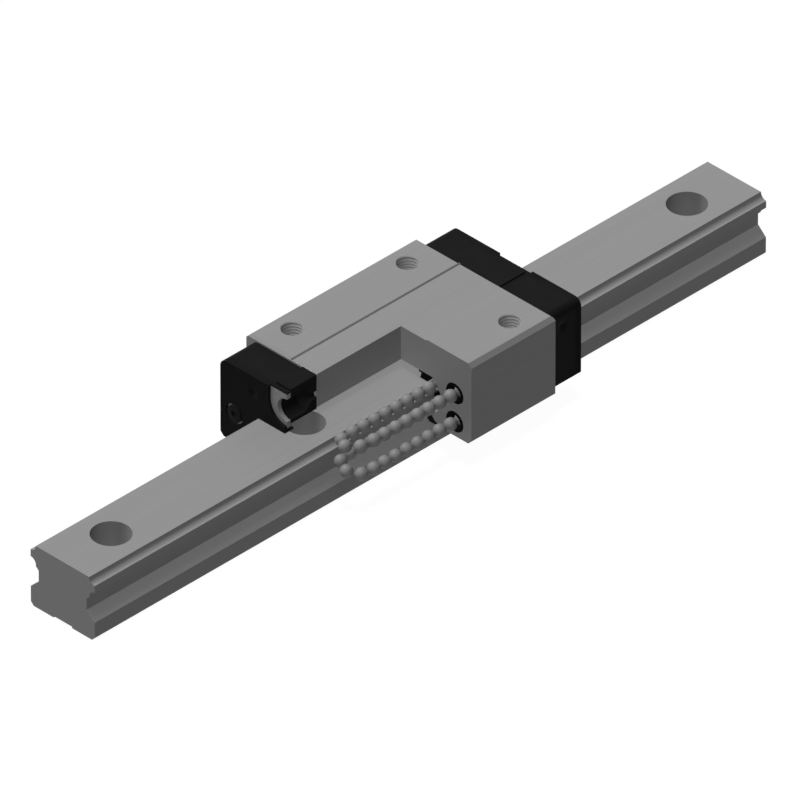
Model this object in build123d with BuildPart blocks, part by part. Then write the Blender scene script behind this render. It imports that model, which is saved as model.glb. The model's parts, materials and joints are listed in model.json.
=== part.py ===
from build123d import *
import os
from itertools import permutations, product
from math import cos, hypot, pi, radians, sin, sqrt

# Linear guide: a profiled steel rail, and a carriage that runs along it on four
# circuits of recirculating balls. The front right quarter of the carriage is cut
# away, so the balls of the two right-hand circuits lie open there.
#
# Millimetres, rail along X, +Z up, origin at the centre of the rail's underside.
# Front is -X, rear is +X, left is +Y, right is -Y. Sections are drawn in the YZ plane.

os.makedirs("parts", exist_ok=True)

# Rail
rail_length = 210
rail_width = 20
rail_height = 16.5
rail_waist = 15
rail_foot_height = 5.0
rail_foot_slope = 2.3
rail_shoulder_slope = 0.8
rail_foot_chamfer = 0.9
rail_relief_width = 5.8
rail_relief_depth = 0.4
rail_bolt_radius = 3.0
rail_bore_radius = 4.75
rail_bore_depth = 8.5
rail_bolt_pitch = 60
rail_bolt_margin = 10

# Balls, their loaded rows along the corners of the rail's head, their return rows in the
# block, and the place along X of one ball in each row
ball_diameter = 3.175
ball_gap = 0.235
groove_conformity = 0.52
groove_edge_angle = 9.4
row_spacing = 5.16
return_upper_z = 17.8
return_lower_z = 10.2
turn_offset = 1.0
loaded_upper_x = -1.2
loaded_lower_x = -2.15
return_x = -1.35

# Steel block
block_length = 52.6
block_width = 44
block_top = 28
block_bottom = 6.4
block_chamfer = 1.0
block_end_chamfer = 0.5
top_relief_width = 16
top_relief_depth = 0.3
ceiling_z = 18.8
ceiling_half_width = 10.05
tap_radius = 2.5
tap_mouth_radius = 2.7
tap_mouth_angle = 90
tap_depth = 6.0
tap_margin_x = 8.3
tap_margin_y = 6.0

# Ball retainers and bottom seals, which run the length of the block
return_bore_radius = 2.7
tube_bore_radius = 1.8
hidden_bore_sides = 12
fit_gap = 0.05
retainer_gap = 0.13
upper_strip_inner_y = 5.6
upper_strip_lip_width = 0.8
upper_strip_lip_thickness = 0.45
upper_strip_bottom_z = 16.85
side_strip_inner_y = 10.45
side_pocket_depth = 1.1
side_pocket_step = 0.3
side_pocket_half_height = 2.2
side_pocket_root_half_height = 0.95
return_share = 0.439
lip_round_y = 11.8
lip_round_z = 9.3
lip_round_radius = 2.2
bottom_seal_outer_y = 11.4
bottom_seal_top_z = 8.75
bottom_seal_tip_y = 8.2
bottom_seal_tip_z = 7.3
bottom_seal_gap = 0.3

# End caps
cap_length = 8.1
cap_side_step = 1.8
cap_top = 27.1
cap_bottom = 6.5
cap_corner_radius = 2.0
cap_chamfer = 1.0
cap_pad_width = 8.8
cap_pad_height = 0.5
cap_arch_width = 15.2
cap_arch_z = 18.45
cap_gap = 0.4
guide_bridge_width = 2.1
hidden_turn_sides = 16
port_z = 22.4
port_radius = 3.0
port_depth = 4.7
port_cone_depth = 1.8
port_passage_radius = 0.9
side_dimple_z = 22.6
side_dimple_radius = 1.7
side_dimple_depth = 0.6

# End seals: a rubber face moulded over a steel plate
seal_thickness = 1.8
seal_skin = 0.7
seal_lip_gap = 0.1
seal_lip_length = 0.9
seal_lip_thickness = 0.5
seal_notch_radius = 5.1
seal_notch_z = 23.4
seal_dimple_y = 9.9
seal_dimple_z = 22.6
seal_dimple_radius = 1.4
seal_dimple_depth = 0.5
plate_inset = 0.8
plate_top_z = 26.7
plate_rail_gap = 1.2

# Cap screws, which clamp seal, plate and cap to the block
screw_return_step = 0.9
screw_z = 14.0
screw_radius = 0.95
screw_sides = 8
screw_length = 13.0
screw_head_radius = 2.0
screw_head_height = 0.7
screw_recess_radius = 2.6
screw_clearance = 0.2

# The open quarter of the carriage lies at lower X and Y than this corner
cut_x = 0
cut_y = 0

# Worked out from the sizes above
ball_radius = ball_diameter / 2
groove_radius = groove_conformity * ball_diameter
groove_reach = groove_radius * cos(radians(groove_edge_angle))
groove_tuck = groove_radius * sin(radians(groove_edge_angle))
row_y = rail_width / 2
row_z = {"upper": rail_height, "lower": rail_height - row_spacing}
return_z = {"upper": return_upper_z, "lower": return_lower_z}
loaded_x = {"upper": loaded_upper_x, "lower": loaded_lower_x}
ball_pitch = ball_diameter + ball_gap
row_middle_z = (row_z["upper"] + row_z["lower"]) / 2
lip_y = row_y - groove_tuck
wall_y = row_y + groove_reach
retainer_radius = ball_radius + retainer_gap
# A return row lies a share of the way out from the side strip's pocket to the block's side
pocket_root_y = wall_y + side_pocket_depth
return_y = pocket_root_y + return_share * (block_width / 2 - pocket_root_y)
guide_bridge_y = (row_y + return_y) / 2
screw_y = return_y - screw_return_step
cap_width = block_width - 2 * cap_side_step
tap_spacing_x = block_length - 2 * tap_margin_x
tap_spacing_y = block_width - 2 * tap_margin_y
block_end = block_length / 2
turn_x = block_end + turn_offset
cap_end = block_end + cap_length
seal_end = cap_end + seal_thickness
plate_thickness = seal_thickness - seal_skin
carriage_length = 2 * seal_end
below = block_bottom - 1

FRONT, REAR = -1, 1
RIGHT, LEFT = -1, 1
SIDES = (RIGHT, LEFT)
END_NAMES = {FRONT: "front", REAR: "rear"}
SIDE_NAMES = {RIGHT: "right", LEFT: "left"}


def save(builder, name):
    """Label a finished piece and write it to its own file."""
    builder.part.label = name
    export_step(builder.part, f"parts/{name}.step")


def mirrored(points):
    """One side's (Y, Z) points, closed by their mirror image across the rail's middle."""
    return points + [(-y, z) for y, z in reversed(points)]


def on_side(side, points):
    """(Y, Z) points given for the left side, on either side."""
    return [(side * y, z) for y, z in points]


def loaded_rows():
    """Centres of the four loaded ball rows in the section."""
    return [(side * row_y, z) for side in SIDES for z in row_z.values()]


def return_bore(side, radius, mode):
    """Draw a return bore or its tube. Those of the closed side are hidden, and have few sides."""
    if side == RIGHT:
        Circle(radius, mode=mode)
    else:
        RegularPolygon(radius, hidden_bore_sides, major_radius=False, mode=mode)


def screw_points():
    """Where the cap screws stand in the section."""
    return [(side * screw_y, screw_z) for side in SIDES]


def screw_shanks(points, gap, mode=Mode.ADD):
    """Draw the cap screws' shanks, or with a gap, their holes. Hidden, so they have few sides."""
    with Locations(*points):
        RegularPolygon(screw_radius + gap, screw_sides, major_radius=False, mode=mode)


def end_plane(end, distance):
    """YZ plane across the rail, a distance from the middle towards one end."""
    return Plane.YZ.offset(end * distance)


def open_quarter():
    """Cut the open quarter away from the piece being built."""
    with Locations((cut_x, cut_y, 0)):
        Box(
            carriage_length,
            block_width,
            2 * block_top,
            align=(Align.MAX, Align.MAX, Align.CENTER),
            mode=Mode.SUBTRACT,
        )


def dimple(centre, inward, radius, depth):
    """Press a shallow round dimple into a face, at its centre."""
    with Locations(Plane(origin=centre, z_dir=inward)):
        Cone(
            radius,
            0,
            depth,
            align=(Align.CENTER, Align.CENTER, Align.MIN),
            mode=Mode.SUBTRACT,
        )


# Rail section, and the same section grown by the clearances of what runs along it
rail_half = rail_width / 2
waist_half = rail_waist / 2
groove_edge_z = row_z["lower"] - groove_tuck
rail_outline = mirrored(
    [
        (rail_half - rail_foot_chamfer, 0),
        (rail_half, rail_foot_chamfer),
        (rail_half, rail_foot_height),
        (waist_half, rail_foot_height + rail_foot_slope),
        (waist_half, groove_edge_z - rail_shoulder_slope),
        (row_y - groove_reach, groove_edge_z),
        (rail_half, row_z["lower"]),
        (rail_half, rail_height),
    ]
)

with BuildSketch(Plane.YZ) as rail_blank:
    with BuildLine():
        Polyline(*rail_outline, close=True)
    make_face()

with BuildSketch(Plane.YZ) as rail_section:
    add(rail_blank.sketch_local)
    with Locations(*loaded_rows()):
        Circle(groove_radius, mode=Mode.SUBTRACT)


def grown(section, clearance):
    """A section of the rail grown all round by a clearance."""
    with BuildSketch(Plane.YZ) as envelope:
        add(section.sketch_local)
        offset(amount=clearance, kind=Kind.INTERSECTION)
    return envelope.sketch_local


cap_envelope = grown(rail_blank, cap_gap)
plate_envelope = grown(rail_blank, plate_rail_gap)
plate_pocket_envelope = grown(rail_blank, plate_rail_gap - fit_gap)
bottom_seal_envelope = grown(rail_blank, bottom_seal_gap)
lip_envelope = grown(rail_section, seal_lip_gap)

# Rail
with BuildPart() as rail:
    with BuildSketch(Plane.YZ):
        add(rail_section.sketch_local)
        Rectangle(rail_relief_width, 2 * rail_relief_depth, mode=Mode.SUBTRACT)
    extrude(amount=rail_length / 2, both=True)
    bolt_count = 1 + int((rail_length - 2 * rail_bolt_margin) / rail_bolt_pitch)
    with Locations(Plane.XY.offset(rail_height)):
        with GridLocations(rail_bolt_pitch, rail_width, bolt_count, 1):
            CounterBoreHole(rail_bolt_radius, rail_bore_radius, rail_bore_depth)
save(rail, "rail")

# The channel that the block opens round the rail, with pockets for the side strips
side_pocket = [
    (wall_y, row_middle_z - side_pocket_half_height),
    (wall_y + side_pocket_step, row_middle_z - side_pocket_half_height),
    (wall_y + side_pocket_depth, row_middle_z - side_pocket_root_half_height),
    (wall_y + side_pocket_depth, row_middle_z + side_pocket_root_half_height),
    (wall_y + side_pocket_step, row_middle_z + side_pocket_half_height),
    (wall_y, row_middle_z + side_pocket_half_height),
]
channel_outline = mirrored(
    [(lip_y, below), (lip_y, row_z["lower"]), (wall_y, row_z["lower"])]
    + side_pocket
    + [
        (wall_y, row_z["upper"]),
        (lip_y, row_z["upper"]),
        (lip_y, ceiling_z - ceiling_half_width + lip_y),
        (ceiling_half_width, ceiling_z),
    ]
)

with BuildSketch(Plane.YZ) as seal_pockets:
    for side in SIDES:
        with BuildLine():
            Polyline(
                *on_side(
                    side,
                    [
                        (waist_half, below),
                        (bottom_seal_outer_y, below),
                        (bottom_seal_outer_y, bottom_seal_top_z),
                        (waist_half, bottom_seal_top_z),
                    ],
                ),
                close=True,
            )
        make_face()
        with Locations((side * lip_round_y, lip_round_z)):
            Circle(lip_round_radius, mode=Mode.SUBTRACT)

# Steel block
with BuildPart() as carriage_block:
    with BuildSketch(Plane.YZ) as block_section:
        with Locations((0, (block_top + block_bottom) / 2)):
            Rectangle(block_width, block_top - block_bottom)
        chamfer(block_section.vertices(), length=block_chamfer)
        with BuildLine():
            Polyline(*channel_outline, close=True)
        make_face(mode=Mode.SUBTRACT)
        add(seal_pockets.sketch_local, mode=Mode.SUBTRACT)
        with Locations(*loaded_rows()):
            Circle(groove_radius, mode=Mode.SUBTRACT)
        for side in SIDES:
            for level in return_z:
                with Locations((side * return_y, return_z[level])):
                    return_bore(side, return_bore_radius, Mode.SUBTRACT)
    extrude(amount=block_end, both=True)
    top_end_edges = carriage_block.edges().filter_by(Axis.Y).group_by(Axis.Z)[-1]
    chamfer(top_end_edges, length=block_end_chamfer)
    with Locations((0, 0, block_top)):
        Box(block_length, top_relief_width, 2 * top_relief_depth, mode=Mode.SUBTRACT)
    with Locations(Plane.XY.offset(block_top)):
        with GridLocations(tap_spacing_x, tap_spacing_y, 2, 2):
            CounterSinkHole(tap_radius, tap_mouth_radius, tap_depth, tap_mouth_angle)
    tapped_length = screw_length - plate_thickness - cap_length + fit_gap
    for end in (FRONT, REAR):
        with BuildSketch(end_plane(end, block_end)):
            screw_shanks(screw_points(), fit_gap)
        extrude(amount=-end * tapped_length, mode=Mode.SUBTRACT)
    open_quarter()
save(carriage_block, "carriage_block")


def strip(side, outline, row_levels, name):
    """A moulded strip the length of the block, hollowed to clear the loaded balls beside it."""
    with BuildPart() as piece:
        with BuildSketch(Plane.YZ):
            with BuildLine():
                Polyline(*on_side(side, outline), close=True)
            make_face()
            with Locations(*[(side * row_y, row_z[level]) for level in row_levels]):
                Circle(retainer_radius, mode=Mode.SUBTRACT)
        extrude(amount=block_end, both=True)
        open_quarter()
    save(piece, name)


strip_top_z = ceiling_z - fit_gap
strip_shoulder_y = lip_y - fit_gap
strip_outer_y = ceiling_half_width - fit_gap
upper_strip = [
    (upper_strip_inner_y, strip_top_z),
    (upper_strip_inner_y, strip_top_z - upper_strip_lip_thickness),
    (upper_strip_inner_y + upper_strip_lip_width, strip_top_z - upper_strip_lip_thickness),
    (upper_strip_inner_y + upper_strip_lip_width / 2, upper_strip_bottom_z),
    (strip_shoulder_y, upper_strip_bottom_z),
    (strip_shoulder_y, strip_top_z - strip_outer_y + strip_shoulder_y),
    (strip_outer_y, strip_top_z),
]
side_strip_half = side_pocket_half_height - fit_gap
side_strip = [
    (side_strip_inner_y, row_middle_z - side_strip_half),
    (wall_y + side_pocket_step - fit_gap, row_middle_z - side_strip_half),
    (wall_y + side_pocket_depth - fit_gap, row_middle_z - side_pocket_root_half_height),
    (wall_y + side_pocket_depth - fit_gap, row_middle_z + side_pocket_root_half_height),
    (wall_y + side_pocket_step - fit_gap, row_middle_z + side_strip_half),
    (side_strip_inner_y, row_middle_z + side_strip_half),
]
for side in SIDES:
    strip(side, upper_strip, ["upper"], f"upper_retainer_{SIDE_NAMES[side]}")
    strip(side, side_strip, ["upper", "lower"], f"middle_retainer_{SIDE_NAMES[side]}")

# Bottom seals: each wraps the block's rounded lower lip and reaches to the rail's foot
for side in SIDES:
    with BuildPart() as bottom_seal:
        with BuildSketch(Plane.YZ):
            with BuildLine():
                Polyline(
                    *on_side(
                        side,
                        [
                            (strip_shoulder_y, bottom_seal_top_z - fit_gap),
                            (bottom_seal_tip_y, bottom_seal_tip_z),
                            (bottom_seal_tip_y, block_bottom + fit_gap),
                            (bottom_seal_outer_y - fit_gap, block_bottom + fit_gap),
                            (bottom_seal_outer_y - fit_gap, bottom_seal_top_z - fit_gap),
                        ],
                    ),
                    close=True,
                )
            make_face()
            with Locations((side * lip_round_y, lip_round_z)):
                Circle(lip_round_radius + fit_gap, mode=Mode.SUBTRACT)
            add(bottom_seal_envelope, mode=Mode.SUBTRACT)
        extrude(amount=block_end, both=True)
        open_quarter()
    save(bottom_seal, f"bottom_seal_{SIDE_NAMES[side]}")

# Return tubes, which line the block's return bores
for side in SIDES:
    for level in return_z:
        with BuildPart() as return_tube:
            with BuildSketch(Plane.YZ):
                with Locations((side * return_y, return_z[level])):
                    return_bore(side, return_bore_radius - fit_gap, Mode.ADD)
                    return_bore(side, tube_bore_radius, Mode.SUBTRACT)
            extrude(amount=block_end, both=True)
            open_quarter()
        save(return_tube, f"return_tube_{SIDE_NAMES[side]}_{level}")


def turn_radius(level):
    """Radius of the half circle that joins a loaded row to its return row."""
    return hypot(return_y - row_y, return_z[level] - row_z[level]) / 2


def turn_plane(end, side, level):
    """Plane of a turnaround: origin at the bend's centre, X from the loaded to the return row."""
    loaded = Vector(end * turn_x, side * row_y, row_z[level])
    returned = Vector(end * turn_x, side * return_y, return_z[level])
    across = returned - loaded
    return Plane(origin=(loaded + returned) / 2, x_dir=across, z_dir=across.cross(Vector(1, 0, 0)))


def turn_disc(end, side, level, radius, height, mode):
    """A round disc in a turnaround's plane. Those of the closed circuits' ends have few sides."""
    with BuildSketch(turn_plane(end, side, level)) as disc:
        if end == FRONT and side == RIGHT:
            Circle(radius)
        else:
            RegularPolygon(radius, hidden_turn_sides, major_radius=mode == Mode.ADD)
    extrude(disc.sketch, amount=height / 2, both=True, mode=mode)


def guide_bridge(end, side, gap, mode):
    """The bar that joins a return guide's two spools, or with a gap, its pocket in the cap."""
    with Locations((end * block_end, side * guide_bridge_y, row_middle_z)):
        Box(2 * (turn_offset + gap), guide_bridge_width + 2 * gap, row_spacing + 2 * gap, mode=mode)


def end_cap(end):
    """A moulded cap that turns the balls of every circuit back at one end of the block."""
    with BuildPart() as cap:
        with BuildSketch(end_plane(end, block_end)) as cap_section:
            with Locations((0, (cap_top + cap_bottom) / 2)):
                Rectangle(cap_width, cap_top - cap_bottom)
            fillet(cap_section.vertices().group_by(Axis.Y)[-1], radius=cap_corner_radius)
            chamfer(cap_section.vertices().group_by(Axis.Y)[0], length=cap_chamfer)
            with Locations((0, cap_top)):
                Rectangle(cap_pad_width, 2 * cap_pad_height)
            add(cap_envelope, mode=Mode.SUBTRACT)
            with Locations((0, below)):
                Rectangle(
                    cap_arch_width,
                    cap_arch_z - below,
                    align=(Align.CENTER, Align.MIN),
                    mode=Mode.SUBTRACT,
                )
            screw_shanks(screw_points(), screw_clearance, Mode.SUBTRACT)
        extrude(amount=end * cap_length)
        for side in SIDES:
            for level in row_z:
                outer_radius = turn_radius(level) + tube_bore_radius
                turn_disc(end, side, level, outer_radius, 2 * tube_bore_radius, Mode.SUBTRACT)
            guide_bridge(end, side, fit_gap, Mode.SUBTRACT)
            dimple(
                (end * (block_end + cap_length / 2), side * cap_width / 2, side_dimple_z),
                (0, -side, 0),
                side_dimple_radius,
                side_dimple_depth,
            )
        outward = Location((end * cap_end, 0, port_z), (0, -90 * end, 0))
        with Locations(outward):
            Cylinder(
                port_radius,
                port_depth,
                align=(Align.CENTER, Align.CENTER, Align.MIN),
                mode=Mode.SUBTRACT,
            )
            Cylinder(
                port_passage_radius,
                cap_length,
                align=(Align.CENTER, Align.CENTER, Align.MIN),
                mode=Mode.SUBTRACT,
            )
            with Locations((0, 0, port_depth)):
                Cone(
                    port_radius,
                    port_passage_radius,
                    port_cone_depth,
                    align=(Align.CENTER, Align.CENTER, Align.MIN),
                    mode=Mode.SUBTRACT,
                )
        open_quarter()
    save(cap, f"end_cap_{END_NAMES[end]}")


def return_guide(end, side):
    """The insert inside a cap: a half spool for the balls of each circuit to turn on, and a bridge."""
    with BuildPart() as guide:
        for level in row_z:
            inner_radius = turn_radius(level) - tube_bore_radius
            spool_height = 2 * (tube_bore_radius - fit_gap)
            turn_disc(end, side, level, inner_radius, spool_height, Mode.ADD)
        guide_bridge(end, side, 0, Mode.ADD)
        split(bisect_by=end_plane(end, block_end), keep=Keep.TOP if end > 0 else Keep.BOTTOM)
    save(guide, f"return_guide_{END_NAMES[end]}_{SIDE_NAMES[side]}")


def plate_outline(inset):
    """Draw the seal plate's outline, with a tab that shows in the seal's notch."""
    low, high = cap_bottom + plate_inset - inset, cap_top - plate_inset + inset
    with Locations((0, (low + high) / 2)):
        Rectangle(cap_width - 2 * plate_inset + 2 * inset, high - low)
    with Locations((0, seal_notch_z)):
        Rectangle(
            2 * (seal_notch_radius + inset),
            plate_top_z - seal_notch_z,
            align=(Align.CENTER, Align.MIN),
        )


def seal_plate(end):
    """The steel plate that backs an end seal."""
    with BuildPart() as plate:
        with BuildSketch(end_plane(end, cap_end)):
            plate_outline(0)
            add(plate_envelope, mode=Mode.SUBTRACT)
            with Locations((0, port_z)):
                Circle(port_radius, mode=Mode.SUBTRACT)
            screw_shanks(screw_points(), screw_clearance, Mode.SUBTRACT)
        extrude(amount=end * plate_thickness)
        open_quarter()
    save(plate, f"seal_plate_{END_NAMES[end]}")


def end_seal(end):
    """The rubber wiper at one end of the carriage."""
    with BuildPart() as seal:
        with BuildSketch(end_plane(end, cap_end)) as seal_section:
            with Locations((0, (cap_top + cap_bottom) / 2)):
                Rectangle(cap_width, cap_top - cap_bottom)
            fillet(seal_section.vertices().group_by(Axis.Y)[-1], radius=cap_corner_radius)
            chamfer(seal_section.vertices().group_by(Axis.Y)[0], length=cap_chamfer)
            add(lip_envelope, mode=Mode.SUBTRACT)
        extrude(amount=end * seal_thickness)
        with BuildSketch(end_plane(end, seal_end)):
            with Locations((0, seal_notch_z)):
                Circle(seal_notch_radius)
                Rectangle(2 * seal_notch_radius, cap_top, align=(Align.CENTER, Align.MIN))
        extrude(amount=-end * seal_skin, mode=Mode.SUBTRACT)
        with BuildSketch(end_plane(end, cap_end)):
            plate_outline(fit_gap)
            add(plate_pocket_envelope, mode=Mode.SUBTRACT)
        extrude(amount=end * plate_thickness, mode=Mode.SUBTRACT)
        with BuildSketch(end_plane(end, cap_end)):
            with Locations(*screw_points()):
                Circle(screw_recess_radius)
        extrude(amount=end * seal_thickness, mode=Mode.SUBTRACT)
        with BuildSketch(end_plane(end, cap_end)):
            with Locations((0, rail_height + seal_lip_gap)):
                Rectangle(
                    cap_arch_width - 2 * cap_gap,
                    seal_lip_thickness,
                    align=(Align.CENTER, Align.MIN),
                )
        extrude(amount=-end * seal_lip_length)
        for side in SIDES:
            dimple(
                (end * seal_end, side * seal_dimple_y, seal_dimple_z),
                (-end, 0, 0),
                seal_dimple_radius,
                seal_dimple_depth,
            )
        open_quarter()
    save(seal, f"end_seal_{END_NAMES[end]}")


def cap_screws(end):
    """The cap screws of one end, as a group."""
    head_plane = end_plane(end, cap_end + plate_thickness)
    present = [point for point in screw_points() if end == REAR or point[0] > cut_y]
    with BuildPart() as screws:
        with BuildSketch(head_plane):
            screw_shanks(present, 0)
        extrude(amount=-end * screw_length)
        with BuildSketch(head_plane):
            with Locations(*present):
                Circle(screw_head_radius)
        extrude(amount=end * screw_head_height)
    save(screws, f"cap_screws_{END_NAMES[end]}")


for end in (FRONT, REAR):
    end_cap(end)
    seal_plate(end)
    end_seal(end)
    cap_screws(end)
for end, side in ((FRONT, LEFT), (REAR, LEFT), (REAR, RIGHT)):
    return_guide(end, side)

# Balls with few flat faces, whose corners lie on the true sphere: 26 faces in the open
# quarter, and 20 where they are closed in
silver_ratio = 1 + sqrt(2)
golden_ratio = (1 + sqrt(5)) / 2
open_corners = {
    Vector(*(sign * value for sign, value in zip(signs, values))).normalized() * ball_radius
    for values in permutations((1, 1, silver_ratio))
    for signs in product((-1, 1), repeat=3)
}
closed_corners = {
    Vector(*values[turn:], *values[:turn]).normalized() * ball_radius
    for values in product((0,), (-1, 1), (-golden_ratio, golden_ratio))
    for turn in range(3)
}
with BuildPart() as open_ball:
    ConvexPolyhedron(sorted(tuple(corner) for corner in open_corners))
with BuildPart() as closed_ball:
    ConvexPolyhedron(sorted(tuple(corner) for corner in closed_corners))


def row_places(x):
    """Places along X of the balls in a straight row that holds one at x."""
    reach = int(carriage_length / ball_pitch)
    places = [x + number * ball_pitch for number in range(-reach, reach)]
    return [place for place in places if abs(place) <= turn_x]


def circuit_centres(side, level):
    """Ball centres round one circuit: its two rows, and the balls spread between them in the turns."""
    loaded = Vector(0, side * row_y, row_z[level])
    across = Vector(0, side * return_y, return_z[level]) - loaded
    radius = turn_radius(level)
    loaded_places, return_places = row_places(loaded_x[level]), row_places(return_x)
    centres = [loaded + Vector(place, 0, 0) for place in loaded_places]
    centres += [loaded + across + Vector(place, 0, 0) for place in return_places]
    for end in (FRONT, REAR):
        loaded_left = turn_x - max(end * place for place in loaded_places)
        return_left = turn_x - max(end * place for place in return_places)
        path = loaded_left + pi * radius + return_left
        steps = round(path / ball_pitch)
        for number in range(1, steps):
            angle = (number * path / steps - loaded_left) / radius
            x = end * (turn_x + radius * sin(angle))
            centres.append(loaded + across * (1 - cos(angle)) / 2 + Vector(x, 0, 0))
    return centres


for side in SIDES:
    for level in row_z:
        with BuildPart() as balls:
            for centre in circuit_centres(side, level):
                in_view = centre.X < cut_x and centre.Y < cut_y
                with Locations(centre):
                    add(open_ball.part if in_view else closed_ball.part)
        save(balls, f"balls_{SIDE_NAMES[side]}_{level}")
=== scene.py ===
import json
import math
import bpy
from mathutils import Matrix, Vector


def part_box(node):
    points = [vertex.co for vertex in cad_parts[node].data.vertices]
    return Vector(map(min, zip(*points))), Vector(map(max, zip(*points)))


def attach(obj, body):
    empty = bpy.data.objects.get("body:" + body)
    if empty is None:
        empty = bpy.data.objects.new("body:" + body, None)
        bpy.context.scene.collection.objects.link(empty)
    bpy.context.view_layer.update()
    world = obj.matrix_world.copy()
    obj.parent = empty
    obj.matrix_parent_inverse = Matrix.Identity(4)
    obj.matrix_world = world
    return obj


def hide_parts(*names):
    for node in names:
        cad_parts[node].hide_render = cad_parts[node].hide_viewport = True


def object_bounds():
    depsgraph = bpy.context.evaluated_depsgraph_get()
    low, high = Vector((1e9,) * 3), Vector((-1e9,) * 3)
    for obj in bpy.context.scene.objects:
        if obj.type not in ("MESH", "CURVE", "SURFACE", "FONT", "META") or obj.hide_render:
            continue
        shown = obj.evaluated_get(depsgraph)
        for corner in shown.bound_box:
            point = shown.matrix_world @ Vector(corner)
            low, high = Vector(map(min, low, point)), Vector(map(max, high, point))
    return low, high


bl_info = {
    "name": "Linear guide",
    "version": (1, 0, 0),
    "blender": (4, 5, 0),
    "location": "View3D > Sidebar > Guide",
    "description": "Finishes a cutaway linear guide: steels, mouldings, balls, threads and screws",
    "category": "Object",
}

import bmesh
import bpy
from bpy.props import FloatProperty, FloatVectorProperty, IntProperty, PointerProperty
from mathutils import Matrix, Vector

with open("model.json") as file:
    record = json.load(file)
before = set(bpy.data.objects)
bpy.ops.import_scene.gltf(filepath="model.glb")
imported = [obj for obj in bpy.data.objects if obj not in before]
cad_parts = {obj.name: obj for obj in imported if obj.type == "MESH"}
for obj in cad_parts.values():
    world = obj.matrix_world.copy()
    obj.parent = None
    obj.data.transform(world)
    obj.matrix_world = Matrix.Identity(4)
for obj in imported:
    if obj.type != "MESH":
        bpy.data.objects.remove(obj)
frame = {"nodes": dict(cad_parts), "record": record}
CAD_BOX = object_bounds()

MM = 0.001
WELD = 1e-6
BALL_NODES = ("balls_right_upper", "balls_right_lower", "balls_left_upper", "balls_left_lower")
SCREW_NODES = ("cap_screws_front", "cap_screws_rear")
SOCKET_SIDES = 6

# The inner corner of the open quarter, seen from above
CUT_CORNER = Vector((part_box("bottom_seal_right")[0].x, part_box("end_cap_front")[0].y))

# How far the relief's corner piece of painted shade reaches into the steel, and how far it stays
# below the top
CORNER_SUNK = 0.02 * MM
CORNER_BELOW_TOP = 0.01 * MM

# Where a grain's darkest and lightest tones lie in its range
GRAIN_DARK = 0.3
GRAIN_LIGHT = 0.7

# Where each lamp shines from, and how wide it is in the sky
KEY_FROM = (-0.15, 0.5, 0.85)
FILL_FROM = (-0.86, -0.61, 0.1)
BACK_FROM = (1, 0.12, 0)
SUN_FROM = (-0.1, -0.1, 1)
LAMP_WIDTH = math.radians(12)

# The floor's reach, gap below the rail, own light with its share, and the grey it throws back
FLOOR_REACH = 3
FLOOR_GAP = 0.2 * MM
FLOOR_GLOW = 1.035
FLOOR_GLOW_SHARE = 0.7
FLOOR_BOUNCE = 0.06

# How far the camera sees, in its own distances from the guide
SIGHT = 3


def linear(grey):
    """A display grey from 0 to 255 as the three linear parts of a colour."""
    value = grey / 255
    part = value / 12.92 if value <= 0.04045 else ((value + 0.055) / 1.055) ** 2.4
    return (part, part, part)


# What a user may change


def colour(name, description, default):
    """A colour property."""
    return FloatVectorProperty(
        name=name, description=description, subtype="COLOR", size=3, min=0, max=1, default=default
    )


def length(name, description, default):
    """A length property, in metres."""
    return FloatProperty(
        name=name, description=description, default=default, min=0, unit="LENGTH", precision=5
    )


def angle(name, description, degrees):
    """An angle property, given in degrees."""
    return FloatProperty(
        name=name, description=description, default=math.radians(degrees), unit="ROTATION"
    )


def brightness(name, description, default):
    """The strength of a lamp or of the sky."""
    return FloatProperty(name=name, description=description, default=default, min=0)


class GuideColours(bpy.types.PropertyGroup):
    """Colours of the guide's finishes."""

    rail: colour("Rail", "Ground steel of the rail", linear(146))
    block: colour("Block", "Ground steel of the carriage block", linear(146))
    # The relief corner is a darker copy of the block's steel: painted shade at the foot of the
    # relief's step
    corner: colour("Relief corner", "Painted shade in the corner of the relief", linear(118))
    # The threads are real ridges, in a lighter copy of the block's steel: painted light in the
    # shaded tapped holes
    thread: colour("Threads", "Steel of the threads, lighter as painted light", linear(161))
    plate: colour("Seal plates", "Sheet steel behind the end seals", linear(134))
    ball: colour("Balls", "Satin steel of the balls", linear(133))
    cap: colour("End caps", "Moulded plastic of the end caps", linear(25))
    retainer: colour("Retainers", "Moulded plastic of strips, tubes and return guides", linear(13))
    seal: colour("Seals", "Rubber of the end seals and bottom seals", linear(26))
    screw: colour("Screws", "Blackened steel of the cap screws", linear(24))


class GuideBalls(bpy.types.PropertyGroup):
    """Sizes of the balls."""

    diameter: length("Diameter", "Diameter of a ball", 3.175 * MM)
    open_detail: IntProperty(
        name="Open detail", description="Fineness of the balls in view", default=3, min=1, max=4
    )
    hidden_detail: IntProperty(
        name="Hidden detail", description="Fineness of the hidden balls", default=2, min=1, max=4
    )


class GuideThreads(bpy.types.PropertyGroup):
    """Sizes of the threads in the tapped holes."""

    pitch: length("Pitch", "Rise of the thread in one turn", 0.8 * MM)
    root: length("Root", "Flat of the hole's wall that is left between two turns", 0.1 * MM)
    height: length("Height", "How far the ridge stands in from the hole's wall", 0.18 * MM)
    lead_in: length("Lead-in", "Plain depth at the mouth of the hole", 0.22 * MM)
    depth: length("Depth", "Depth at which the thread ends", 5.7 * MM)
    start: angle("Start", "Where round the hole the thread starts", 225)
    turn_steps: IntProperty(
        name="Steps", description="Steps in one turn", default=28, min=8, max=96
    )


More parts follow.
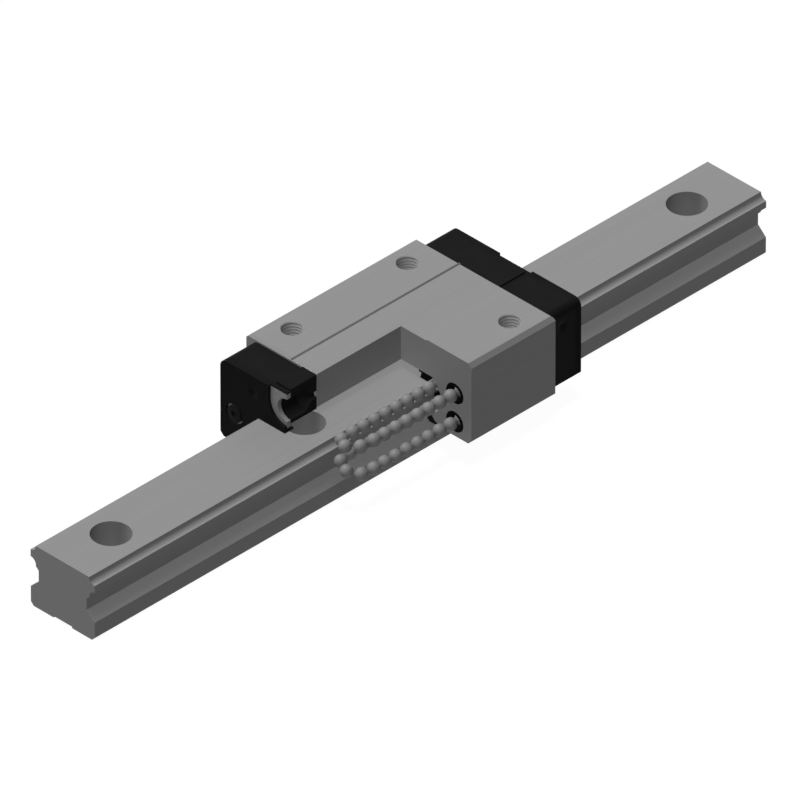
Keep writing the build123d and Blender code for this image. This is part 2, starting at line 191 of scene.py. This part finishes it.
class GuideScrews(bpy.types.PropertyGroup):
    """Sizes of the cap screws' heads, sockets and shanks."""

    shank_radius: length("Shank radius", "Radius of the shank", 0.95 * MM)
    head_rim: length("Head rim", "How far the round head reaches past its solid", 0.2 * MM)
    head_height: length("Head height", "Height of the low head", 0.7 * MM)
    head_bevel: length("Head bevel", "Bevel round the head", 0.12 * MM)
    socket_width: length("Socket width", "Width across the socket's flats", 1.5 * MM)
    socket_depth: length("Socket depth", "Depth of the socket", 0.4 * MM)
    head_sides: IntProperty(
        name="Sides", description="Sides of the round head", default=36, min=12, max=96
    )


class GuideRelief(bpy.types.PropertyGroup):
    """Sizes of the shallow relief along the block's top."""

    width: length("Width", "Width of the relief", 16 * MM)
    depth: length("Depth", "Depth of the relief", 0.3 * MM)
    # The corner is a strip of painted shade, in a darker copy of the block's steel, at the foot of
    # the step
    corner: length("Corner", "Width of the painted shade in the corner at the foot of its step", 0.42 * MM)


class GuideStage(bpy.types.PropertyGroup):
    """Camera, lamps and sky."""

    azimuth: angle("Azimuth", "Turn of the camera round the guide from the front", -45)
    elevation: angle("Elevation", "Height of the camera above the floor", 35)
    aim: FloatVectorProperty(
        name="Aim",
        description="Point at the middle of the picture",
        subtype="TRANSLATION",
        unit="LENGTH",
        size=3,
        default=(-6.2 * MM, -5.9 * MM, 13.75 * MM),
    )
    width: length("Width", "Width of the picture at the aim", 176.7 * MM)
    lens: FloatProperty(
        name="Lens", description="Focal length in millimetres", default=1600, min=50, max=2000
    )
    key: brightness("Key", "Strength of the high lamp from the left", 2.85)
    fill: brightness("Fill", "Strength of the low lamp from the camera's side", 0.62)
    back: brightness("Back", "Strength of the low lamp from behind", 1.15)
    sun: brightness("Sun", "Strength of the overhead lamp", 0.35)
    sky: brightness("Sky", "Strength of the light all round", 0.04)


class GuideSettings(bpy.types.PropertyGroup):
    """All settings of the guide."""

    colours: PointerProperty(type=GuideColours)
    balls: PointerProperty(type=GuideBalls)
    threads: PointerProperty(type=GuideThreads)
    screws: PointerProperty(type=GuideScrews)
    relief: PointerProperty(type=GuideRelief)
    stage: PointerProperty(type=GuideStage)


# Materials


def add_node(tree, kind, inputs=None, **settings):
    """Add a node with its settings to a tree, and fill or link its inputs."""
    made = tree.nodes.new(kind)
    for key, value in settings.items():
        setattr(made, key, value)
    for key, value in (inputs or {}).items():
        if isinstance(value, bpy.types.NodeSocket):
            tree.links.new(value, made.inputs[key])
        else:
            made.inputs[key].default_value = value
    return made


def mix(tree, share, first, second):
    """Mix the shaders of two nodes, by the share of the second."""
    inputs = {"Fac": share, 1: first.outputs[0], 2: second.outputs[0]}
    return add_node(tree, "ShaderNodeMixShader", inputs)


def seen(tree):
    """One for camera, glossy and transmission rays, and zero for rays that light things."""
    path = add_node(tree, "ShaderNodeLightPath")
    total = path.outputs["Is Camera Ray"]
    for name in ("Is Glossy Ray", "Is Transmission Ray"):
        inputs = {0: total, 1: path.outputs[name]}
        total = add_node(tree, "ShaderNodeMath", inputs, operation="MAXIMUM").outputs["Value"]
    return total


class Finish:
    """A material under construction: its node tree, its shader and the texture coordinates."""

    def __init__(self, name):
        self.material = bpy.data.materials.new(name)
        self.material.use_nodes = True
        self.tree = self.material.node_tree
        self.shader = self.tree.nodes["Principled BSDF"]
        self.place = add_node(self.tree, "ShaderNodeTexCoord").outputs["Object"]

    def noise(self, scale, stretch=(1, 1, 1), detail=3.0):
        """Grain of a scale per metre, which a stretch below 1 draws out along an axis."""
        inputs = {"Vector": self.place, "Scale": stretch}
        place = add_node(self.tree, "ShaderNodeMapping", inputs).outputs["Vector"]
        inputs = {"Vector": place, "Scale": scale, "Detail": detail}
        return add_node(self.tree, "ShaderNodeTexNoise", inputs).outputs["Fac"]

    def mottle(self, grain, base, spread):
        """Vary the base colour with a grain, by a share of itself."""
        ramp = add_node(self.tree, "ShaderNodeValToRGB", {"Fac": grain})
        dark, light = ramp.color_ramp.elements
        dark.position, light.position = GRAIN_DARK, GRAIN_LIGHT
        dark.color = (*(part * (1 - spread) for part in base), 1)
        light.color = (*(part * (1 + spread) for part in base), 1)
        self.tree.links.new(ramp.outputs["Color"], self.shader.inputs["Base Color"])

    def gloss(self, grain, low, high):
        """Vary the roughness with a grain."""
        inputs = {"Value": grain, "To Min": low, "To Max": high}
        rough = add_node(self.tree, "ShaderNodeMapRange", inputs).outputs["Result"]
        self.tree.links.new(rough, self.shader.inputs["Roughness"])

    def relief(self, grain, strength, depth):
        """Raise the surface with a grain."""
        inputs = {"Height": grain, "Strength": strength, "Distance": depth}
        normal = add_node(self.tree, "ShaderNodeBump", inputs).outputs["Normal"]
        self.tree.links.new(normal, self.shader.inputs["Normal"])

    def plain(self, **values):
        """Set the shader's own sockets, and give the finished material."""
        for key, value in values.items():
            self.shader.inputs[key.replace("_", " ")].default_value = value
        return self.material


def ground_steel(name, base):
    """Steel ground along the rail: fine straight lines, whose tone changes slowly along them."""
    finish = Finish(name)
    lines = finish.noise(scale=900, stretch=(0.02, 4, 4), detail=4)
    finish.mottle(lines, base, spread=0.035)
    finish.gloss(lines, low=0.42, high=0.56)
    finish.relief(lines, strength=0.05, depth=0.01 * MM)
    return finish.plain(Metallic=0.08, Specular_IOR_Level=0.06)


def sheet_steel(name, base):
    """Rolled sheet steel, with a faint even grain."""
    finish = Finish(name)
    grain = finish.noise(scale=2400, detail=2)
    finish.mottle(grain, base, spread=0.05)
    finish.gloss(grain, low=0.4, high=0.5)
    return finish.plain(Metallic=0.15, Specular_IOR_Level=0.2)


def satin_steel(name, base):
    """Bearing balls: smooth and dull, with the faintest clouding."""
    finish = Finish(name)
    cloud = finish.noise(scale=700, detail=2)
    finish.mottle(cloud, base, spread=0.03)
    finish.gloss(cloud, low=0.58, high=0.66)
    return finish.plain(Metallic=0.1, Specular_IOR_Level=0.2)


def moulded_plastic(name, base):
    """Black plastic with the fine spark grain of its mould."""
    finish = Finish(name)
    grain = finish.noise(scale=3200, detail=4)
    finish.mottle(finish.noise(scale=260), base, spread=0.1)
    finish.gloss(grain, low=0.5, high=0.68)
    finish.relief(grain, strength=0.12, depth=0.02 * MM)
    return finish.plain(Metallic=0.0, Specular_IOR_Level=0.02)


def moulded_rubber(name, base):
    """Black nitrile rubber: duller than the plastic, with a softer grain."""
    finish = Finish(name)
    grain = finish.noise(scale=1800)
    finish.mottle(finish.noise(scale=180), base, spread=0.12)
    finish.gloss(grain, low=0.65, high=0.85)
    finish.relief(grain, strength=0.15, depth=0.02 * MM)
    return finish.plain(Metallic=0.0, Specular_IOR_Level=0.02)


def blackened_steel(name, base):
    """Black oxide on a small screw."""
    finish = Finish(name)
    grain = finish.noise(scale=2600)
    finish.mottle(grain, base, spread=0.15)
    finish.gloss(grain, low=0.55, high=0.7)
    return finish.plain(Metallic=0.05, Specular_IOR_Level=0.03)


# Which maker and which colour finish each of the record's material slots
FINISHES = {
    "rail_steel": (ground_steel, "rail"),
    "block_steel": (ground_steel, "block"),
    "plate_steel": (sheet_steel, "plate"),
    "ball_steel": (satin_steel, "ball"),
    "cap_plastic": (moulded_plastic, "cap"),
    "guide_plastic": (moulded_plastic, "retainer"),
    "retainer_plastic": (moulded_plastic, "retainer"),
    "seal_rubber": (moulded_rubber, "seal"),
    "screw_steel": (blackened_steel, "screw"),
}


def finish_of(slot, settings):
    """The material of a slot, made the first time that it is asked for."""
    made = bpy.data.materials.get(f"finish_{slot}")
    if made is None:
        maker, colour_name = FINISHES[slot]
        made = maker(f"finish_{slot}", getattr(settings.colours, colour_name))
    return made


# Building pieces


def finish_piece(name, shape, slot, body, settings, sharp_angle=35, nodes=(), finish=None):
    """Make a piece of a bmesh, with its material, its body and the nodes that it stands for."""
    bmesh.ops.recalc_face_normals(shape, faces=shape.faces)
    mesh = bpy.data.meshes.new(name)
    shape.to_mesh(mesh)
    shape.free()
    mesh.shade_smooth()
    mesh.set_sharp_from_angle(angle=math.radians(sharp_angle))
    mesh.materials.append(finish or finish_of(slot, settings))
    piece = bpy.data.objects.new(name, mesh)
    bpy.context.scene.collection.objects.link(piece)
    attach(piece, body)
    if nodes:
        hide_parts(*nodes)


def solid_boxes(node_name):
    """Lowest and highest corner of each separate solid in a CAD node."""
    copy = bmesh.new()
    copy.from_mesh(frame["nodes"][node_name].data)
    bmesh.ops.remove_doubles(copy, verts=copy.verts, dist=WELD)
    reached = set()
    boxes = []
    for start in copy.verts:
        if start in reached:
            continue
        reached.add(start)
        waiting = [start]
        points = []
        while waiting:
            vertex = waiting.pop()
            points.append(vertex.co.copy())
            for edge in vertex.link_edges:
                other = edge.other_vert(vertex)
                if other not in reached:
                    reached.add(other)
                    waiting.append(other)
        low = Vector(min(point[axis] for point in points) for axis in range(3))
        high = Vector(max(point[axis] for point in points) for axis in range(3))
        boxes.append((low, high))
    copy.free()
    return boxes


def tapped_holes():
    """Mouth and wall radius of each tapped hole in the carriage, once where two mounts share it."""
    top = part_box("carriage_block")[1].z
    holes = {}
    for mount in frame["record"]["mounts"]:
        if mount["name"].startswith("carriage_taps"):
            sizes = mount["dims"]
            half = Vector((sizes.get("spacing_x_mm", 0), sizes.get("spacing_y_mm", 0))) * MM / 2
            for sign in (-1, 1):
                x = mount["pos_m"][0] + sign * half.x
                y = mount["pos_m"][1] + sign * half.y
                holes[round(x / MM), round(y / MM)] = (Vector((x, y, top)), sizes["hole_r_mm"] * MM)
    return list(holes.values())


class GUIDE_OT_finish_solids(bpy.types.Operator):
    """Give each solid of the guide the finish of its material slot"""

    bl_idname = "guide.finish_solids"
    bl_label = "Finish solids"

    def execute(self, context):
        settings = context.scene.linear_guide
        slots = {row["node"]: row["material_slot"] for row in frame["record"]["subparts"]}
        for name, node in frame["nodes"].items():
            for place in node.material_slots:
                place.material = finish_of(slots[name], settings)
        return {"FINISHED"}


class GUIDE_OT_balls(bpy.types.Operator):
    """Make the round balls of the four circuits"""

    bl_idname = "guide.balls"
    bl_label = "Balls"

    def execute(self, context):
        settings = context.scene.linear_guide
        sizes = settings.balls
        for node_name in BALL_NODES:
            shape = bmesh.new()
            for low, high in solid_boxes(node_name):
                centre = (low + high) / 2
                in_view = centre.x < CUT_CORNER.x and centre.y < CUT_CORNER.y
                bmesh.ops.create_icosphere(
                    shape,
                    subdivisions=sizes.open_detail if in_view else sizes.hidden_detail,
                    radius=sizes.diameter / 2,
                    matrix=Matrix.Translation(centre),
                )
            name = node_name.replace("balls", "ball_circuit")
            finish_piece(
                name,
                shape,
                "ball_steel",
                "carriage",
                settings,
                sharp_angle=180,
                nodes=[node_name],
            )
        return {"FINISHED"}


class GUIDE_OT_threads(bpy.types.Operator):
    """Cut the threads of the tapped holes, in a lighter copy of the block's steel that paints light
    into the holes
    """

    bl_idname = "guide.threads"
    bl_label = "Threads"

    def execute(self, context):
        settings = context.scene.linear_guide
        sizes = settings.threads
        turns = int((sizes.depth - sizes.lead_in) / sizes.pitch)
        steps = turns * sizes.turn_steps
        ridge = sizes.pitch - sizes.root
        # A lighter copy of the block's steel: painted light on the threads
        finish = ground_steel("finish_thread", settings.colours.thread)
        for number, (mouth, wall) in enumerate(tapped_holes(), 1):
            shape = bmesh.new()
            top = -sizes.lead_in
            points = [
                shape.verts.new((wall, 0, top)),
                shape.verts.new((wall - sizes.height, 0, top - ridge / 2)),
                shape.verts.new((wall, 0, top - ridge)),
            ]
            profile = shape.faces.new(points)
            bmesh.ops.spin(
                shape,
                geom=[*points, *profile.edges, profile],
                cent=(0, 0, 0),
                axis=(0, 0, 1),
                dvec=(0, 0, -sizes.pitch / sizes.turn_steps),
                angle=2 * math.pi * turns,
                steps=steps,
            )
            place = Matrix.Translation(mouth) @ Matrix.Rotation(sizes.start, 4, "Z")
            bmesh.ops.transform(shape, matrix=place, verts=shape.verts)
            name = f"tap_thread_{number}"
            finish_piece(name, shape, "block_steel", "carriage", settings, finish=finish)
        return {"FINISHED"}


class GUIDE_OT_relief_painted_shade(bpy.types.Operator):
    """Lay a darker strip of the block's steel in the left corner of the block's relief, as painted
    shade at the foot of its step
    """

    bl_idname = "guide.relief_corner"
    bl_label = "Relief corner"

    def execute(self, context):
        settings = context.scene.linear_guide
        sizes = settings.relief
        low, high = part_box("carriage_block")
        wall = sizes.width / 2 + CORNER_SUNK
        foot = sizes.width / 2 - sizes.corner
        floor = high.z - sizes.depth - CORNER_SUNK
        top = high.z - CORNER_BELOW_TOP
        shape = bmesh.new()
        for x in (low.x, high.x):
            profile = ((x, wall, top), (x, foot, floor), (x, wall, floor))
            shape.faces.new([shape.verts.new(point) for point in profile])
        bmesh.ops.bridge_loops(shape, edges=shape.edges[:])
        # A darker copy of the block's steel: painted shade in the corner of the relief
        finish = ground_steel("finish_relief_corner", settings.colours.corner)
        finish_piece("relief_corner", shape, "block_steel", "carriage", settings, finish=finish)
        return {"FINISHED"}


class GUIDE_OT_cap_screws(bpy.types.Operator):
    """Make the low-headed socket screws of the end caps"""

    bl_idname = "guide.cap_screws"
    bl_label = "Cap screws"

    def execute(self, context):
        settings = context.scene.linear_guide
        for node_name in SCREW_NODES:
            shape = bmesh.new()
            for low, high in solid_boxes(node_name):
                self.add_screw(shape, low, high, settings.screws)
            name = node_name.replace("cap", "socket")
            finish_piece(name, shape, "screw_steel", "carriage", settings, nodes=[node_name])
        return {"FINISHED"}

    def add_screw(self, shape, low, high, sizes):
        """Add one screw to the bmesh, in the box of its solid."""
        outward = 1 if low.x > 0 else -1
        top_x = high.x if outward > 0 else low.x
        turn = Matrix.Rotation(math.radians(90 * outward), 4, "Y")
        middle = (low + high) / 2
        place = Matrix.Translation((top_x, middle.y, middle.z)) @ turn
        radius = (high.y - low.y) / 2 + sizes.head_rim
        before = set(shape.verts)
        rim = self.ring(shape, sizes.head_sides, radius)
        socket = self.ring(shape, SOCKET_SIDES, sizes.socket_width / math.sqrt(3))
        bmesh.ops.bridge_loops(shape, edges=rim + socket)
        self.sink(shape, socket, sizes.socket_depth, 1)
        skirt = self.sink(shape, rim, sizes.head_height, sizes.shank_radius / radius)
        self.sink(shape, skirt, high.x - low.x - sizes.head_height, 1)
        bmesh.ops.bevel(
            shape,
            geom=rim,
            offset=sizes.head_bevel,
            offset_type="OFFSET",
            affect="EDGES",
            segments=2,
            profile=0.5,
            material=-1,
        )
        made = [vertex for vertex in shape.verts if vertex not in before]
        bmesh.ops.transform(shape, matrix=place, verts=made)

    def ring(self, shape, sides, radius):
        """Add a ring of edges round the bmesh's own axis."""
        verts = bmesh.ops.create_circle(shape, segments=sides, radius=radius)["verts"]
        return list(dict.fromkeys(edge for vertex in verts for edge in vertex.link_edges))

    def draw_out(self, shape, edges):
        """Extrude a loop of edges in place, and give the new loop's vertices and edges."""
        drawn = bmesh.ops.extrude_edge_only(shape, edges=edges)["geom"]
        verts = [item for item in drawn if isinstance(item, bmesh.types.BMVert)]
        loop = [item for item in drawn if isinstance(item, bmesh.types.BMEdge)]
        return verts, [edge for edge in loop if all(vertex in verts for vertex in edge.verts)]

    def sink(self, shape, edges, depth, share):
        """Draw a loop down by a depth, and close it, or draw it in to a share of its width."""
        verts, loop = self.draw_out(shape, edges)
        bmesh.ops.translate(shape, verts=verts, vec=(0, 0, -depth))
        if share == 1:
            bmesh.ops.contextual_create(shape, geom=loop)
        else:
            verts, loop = self.draw_out(shape, loop)
            bmesh.ops.scale(shape, vec=(share, share, 1), verts=verts)
        return loop


class GUIDE_OT_stage(bpy.types.Operator):
    """Set up the floor, the lamps, the background and the camera"""

    bl_idname = "guide.stage"
    bl_label = "Stage"

    def execute(self, context):
        stage = context.scene.linear_guide.stage
        self.add_floor()
        self.light_world(context.scene, stage.sky)
        self.add_lamp("key", stage.key, KEY_FROM, shadow=False)
        self.add_lamp("fill", stage.fill, FILL_FROM, shadow=False)
        self.add_lamp("back", stage.back, BACK_FROM, shadow=True)
        self.add_lamp("overhead_sun", stage.sun, SUN_FROM, shadow=True)
        self.add_camera(context.scene, stage)
        context.scene.view_settings.view_transform = "Standard"
        return {"FINISHED"}

    def add_lamp(self, name, strength, direction, shadow):
        """A soft distant lamp that shines from a direction, with or without shadows."""
        lamp = bpy.data.lights.new(name, "SUN")
        lamp.energy = strength
        lamp.angle = LAMP_WIDTH
        lamp.use_shadow = shadow
        holder = bpy.data.objects.new(name, lamp)
        holder.rotation_euler = Vector(direction).to_track_quat("Z", "Y").to_euler()
        bpy.context.scene.collection.objects.link(holder)

    def add_floor(self):
        """A floor that is white from above, apart from a soft shadow, and clear from below."""
        shape = bmesh.new()
        bmesh.ops.create_grid(shape, x_segments=1, y_segments=1, size=FLOOR_REACH)
        bmesh.ops.translate(shape, verts=shape.verts, vec=(0, 0, CAD_BOX[0][2] - FLOOR_GAP))
        mesh = bpy.data.meshes.new("floor")
        shape.to_mesh(mesh)
        shape.free()
        material = bpy.data.materials.new("floor_white")
        material.use_nodes = True
        tree = material.node_tree
        tree.nodes.clear()
        paper = add_node(tree, "ShaderNodeBsdfDiffuse", {"Color": (1, 1, 1, 1)})
        glow = add_node(tree, "ShaderNodeEmission", {"Strength": FLOOR_GLOW})
        bright = mix(tree, FLOOR_GLOW_SHARE, paper, glow)
        dim = add_node(tree, "ShaderNodeBsdfDiffuse", {"Color": (*[FLOOR_BOUNCE] * 3, 1)})
        above = mix(tree, seen(tree), dim, bright)
        below = add_node(tree, "ShaderNodeBsdfTransparent")
        side = add_node(tree, "ShaderNodeNewGeometry").outputs["Backfacing"]
        surface = mix(tree, side, above, below).outputs["Shader"]
        add_node(tree, "ShaderNodeOutputMaterial", {"Surface": surface})
        mesh.materials.append(material)
        floor = bpy.data.objects.new("floor", mesh)
        bpy.context.scene.collection.objects.link(floor)

    def light_world(self, scene, strength):
        """An even sky that lights the guide, and is white to the camera."""
        world = bpy.data.worlds.new("studio")
        world.use_nodes = True
        tree = world.node_tree
        tree.nodes.clear()
        white = {"Color": (1, 1, 1, 1)}
        light = add_node(tree, "ShaderNodeBackground", {**white, "Strength": strength})
        backdrop = add_node(tree, "ShaderNodeBackground", {**white, "Strength": 1})
        surface = mix(tree, seen(tree), light, backdrop).outputs["Shader"]
        add_node(tree, "ShaderNodeOutputWorld", {"Surface": surface})
        scene.world = world

    def add_camera(self, scene, stage):
        """A camera with a long lens, far off at the photograph's angle."""
        camera_data = bpy.data.cameras.new("camera")
        camera_data.lens = stage.lens
        distance = stage.width * stage.lens / camera_data.sensor_width
        camera_data.clip_end = SIGHT * distance
        away = Vector(
            (
                math.sin(stage.azimuth) * math.cos(stage.elevation),
                -math.cos(stage.azimuth) * math.cos(stage.elevation),
                math.sin(stage.elevation),
            )
        )
        camera = bpy.data.objects.new("camera", camera_data)
        camera.location = Vector(stage.aim) + away * distance
        camera.rotation_euler = away.to_track_quat("Z", "Y").to_euler()
        scene.collection.objects.link(camera)
        scene.camera = camera


class GUIDE_PT_panel(bpy.types.Panel):
    """The guide's settings and operators in the sidebar"""

    bl_label = "Linear guide"
    bl_space_type = "VIEW_3D"
    bl_region_type = "UI"
    bl_category = "Guide"

    def draw(self, context):
        settings = context.scene.linear_guide
        for group in (
            settings.colours,
            settings.balls,
            settings.threads,
            settings.screws,
            settings.relief,
            settings.stage,
        ):
            column = self.layout.column()
            for key in group.bl_rna.properties.keys():
                if key not in ("rna_type", "name"):
                    column.prop(group, key)
        for operator in OPERATORS:
            self.layout.operator(operator.bl_idname)


GROUPS = (
    GuideColours,
    GuideBalls,
    GuideThreads,
    GuideScrews,
    GuideRelief,
    GuideStage,
    GuideSettings,
)
OPERATORS = (
    GUIDE_OT_finish_solids,
    GUIDE_OT_balls,
    GUIDE_OT_threads,
    GUIDE_OT_relief_painted_shade,
    GUIDE_OT_cap_screws,
    GUIDE_OT_stage,
)
CLASSES = (*GROUPS, *OPERATORS, GUIDE_PT_panel)


def register():
    for item in CLASSES:
        bpy.utils.register_class(item)
    bpy.types.Scene.linear_guide = PointerProperty(type=GuideSettings)


def unregister():
    del bpy.types.Scene.linear_guide
    for item in reversed(CLASSES):
        bpy.utils.unregister_class(item)


def main():
    register()
    bpy.ops.guide.finish_solids()
    bpy.ops.guide.balls()
    bpy.ops.guide.threads()
    bpy.ops.guide.relief_corner()
    bpy.ops.guide.cap_screws()
    bpy.ops.guide.stage()


if __name__ == "__main__":
    main()
